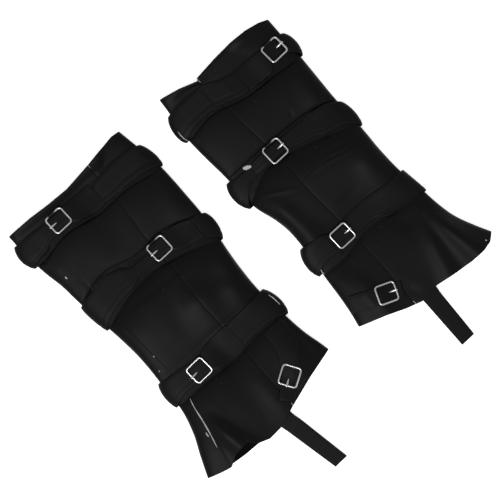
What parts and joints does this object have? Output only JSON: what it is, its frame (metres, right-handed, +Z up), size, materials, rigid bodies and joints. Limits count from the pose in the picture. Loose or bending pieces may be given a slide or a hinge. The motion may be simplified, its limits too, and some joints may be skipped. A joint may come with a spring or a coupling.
{
  "type": "pair of leg covers",
  "caption": "Pair of black leatherette gaiters laid flat, each a buckled tube with straps round it, a flared hem and a stirrup loop.",
  "frame": {"origin": "centre of the bounding box at the surface that the pair lies on", "axes": "+Z up from the surface, +Y along the covers from hem to knee edge, +X across from the left cover to the right one"},
  "size_m": [0.5043, 0.5293, 0.032],
  "materials": {
    "leatherette": "satin black leatherette with a fine grain",
    "strap_leatherette": "satin black leatherette, doubled and topstitched",
    "chrome": "polished"
  },
  "bodies": {
    "root": {"left_front_panel": "leatherette", "left_wrap_panel": "leatherette", "left_strap_1": "strap_leatherette", "left_tongue_1": "strap_leatherette", "left_strap_2": "strap_leatherette", "left_tongue_2": "strap_leatherette", "left_strap_3": "strap_leatherette", "left_tongue_3": "strap_leatherette", "left_ankle_strap": "strap_leatherette", "left_stirrup": "strap_leatherette", "left_buckle_1": "chrome", "left_prong_1": "chrome", "left_buckle_2": "chrome", "left_prong_2": "chrome", "left_buckle_3": "chrome", "left_prong_3": "chrome", "left_buckle_4": "chrome", "left_prong_4": "chrome", "right_front_panel": "leatherette", "right_wrap_panel": "leatherette", "right_strap_1": "strap_leatherette", "right_tongue_1": "strap_leatherette", "right_strap_2": "strap_leatherette", "right_tongue_2": "strap_leatherette", "right_strap_3": "strap_leatherette", "right_tongue_3": "strap_leatherette", "right_ankle_strap": "strap_leatherette", "right_stirrup": "strap_leatherette", "right_buckle_1": "chrome", "right_prong_1": "chrome", "right_buckle_2": "chrome", "right_prong_2": "chrome", "right_buckle_3": "chrome", "right_prong_3": "chrome", "right_buckle_4": "chrome", "right_prong_4": "chrome"}
  },
  "joints": []
}
